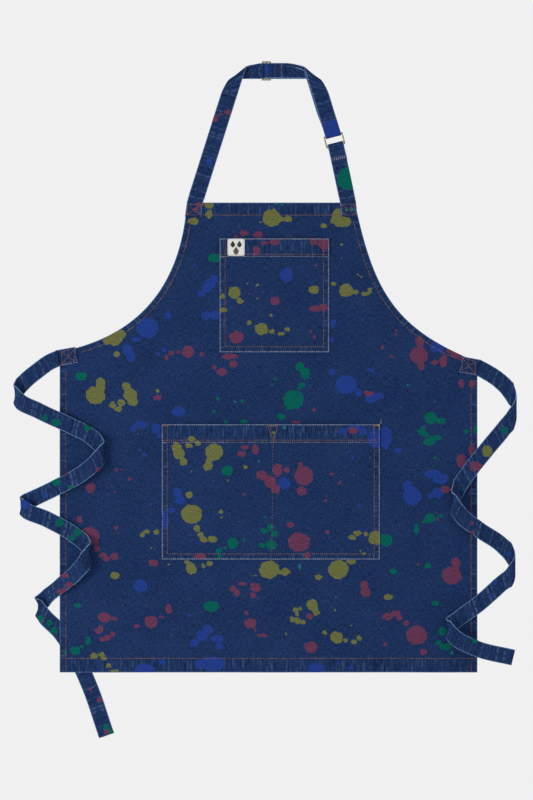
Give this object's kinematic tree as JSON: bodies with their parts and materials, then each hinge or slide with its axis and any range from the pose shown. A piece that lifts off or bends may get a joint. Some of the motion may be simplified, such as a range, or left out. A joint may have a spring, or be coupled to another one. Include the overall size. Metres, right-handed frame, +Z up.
{
  "type": "artist apron",
  "caption": "Bib apron of paint-splashed denim with a buckled neck loop, a bib pocket, a divided waist pocket and two long waist ties.",
  "frame": {"origin": "middle of the neck loop's lower edge behind the neck, where a hook carries the apron", "axes": "+Z up, -Y out of the apron's front, +X to the right seen from the front"},
  "size_m": [0.8413, 0.0437, 1.1358],
  "materials": {
    "denim": "indigo twill with splashes of olive, wine, green and blue print",
    "tape": "folded denim tape, worn pale along its edges",
    "thread": "matt rust-brown topstitching",
    "label": "off-white woven satin",
    "brass": "antique brass, brushed"
  },
  "bodies": {
    "neck_strap": {"neck_strap_long": "tape", "neck_strap_return": "tape", "neck_strap_short": "tape"},
    "slider": {"slider_buckle": "brass", "slider_strap_end": "tape"},
    "ring": {"square_ring": "brass"},
    "tie_left": {"tie_left": "tape"},
    "tie_right": {"tie_right": "tape"},
    "apron": {"armhole_hem_left": "denim", "armhole_hem_right": "denim", "armhole_stitch_left": "thread", "armhole_stitch_right": "thread", "bartack_left": "thread", "bartack_middle": "thread", "bartack_right": "thread", "bib_pocket": "denim", "bib_pocket_hem": "denim", "bib_pocket_hem_stitch": "thread", "bib_pocket_stitch": "thread", "body_panel": "denim", "bottom_hem": "denim", "bottom_hem_stitch": "thread", "side_hem_left": "denim", "side_hem_right": "denim", "side_stitch_left": "thread", "side_stitch_right": "thread", "strap_end_left": "tape", "strap_end_right": "tape", "strap_end_stitch_left": "thread", "strap_end_stitch_right": "thread", "tie_end_left": "tape", "tie_end_right": "tape", "tie_end_stitch_left": "thread", "tie_end_stitch_right": "thread", "top_hem": "denim", "top_hem_stitch": "thread", "waist_pocket": "denim", "waist_pocket_divider_stitch": "thread", "waist_pocket_hem_left": "denim", "waist_pocket_hem_right": "denim", "waist_pocket_hem_stitch": "thread", "waist_pocket_stitch": "thread", "woven_label": "label"}
  },
  "joints": [
    {"name": "bib_swing", "type": "hinge", "parent": "neck_strap", "child": "apron", "pos_m": [0.004, -0.01, -0.2025], "axis": [1, 0, 0], "range_deg": [-150, 120]},
    {"name": "slider_slide", "type": "slide", "parent": "neck_strap", "child": "slider", "axis": [1, 0, 0], "range_m": [-0.01, 0.016]},
    {"name": "ring_pivot", "type": "hinge", "parent": "neck_strap", "child": "ring", "pos_m": [0.10813, -0.0069, -0.09435], "axis": [0.9681, 0, 0.2504], "range_deg": [-3, 3]},
    {"name": "tie_left_swing", "type": "hinge", "parent": "apron", "child": "tie_left", "pos_m": [-0.352, -0.0134, -0.469], "axis": [0, 1, 0], "range_deg": [0, 80]},
    {"name": "tie_right_swing", "type": "hinge", "parent": "apron", "child": "tie_right", "pos_m": [0.352, -0.0134, -0.485], "axis": [0, 1, 0], "range_deg": [-80, 20]}
  ]
}
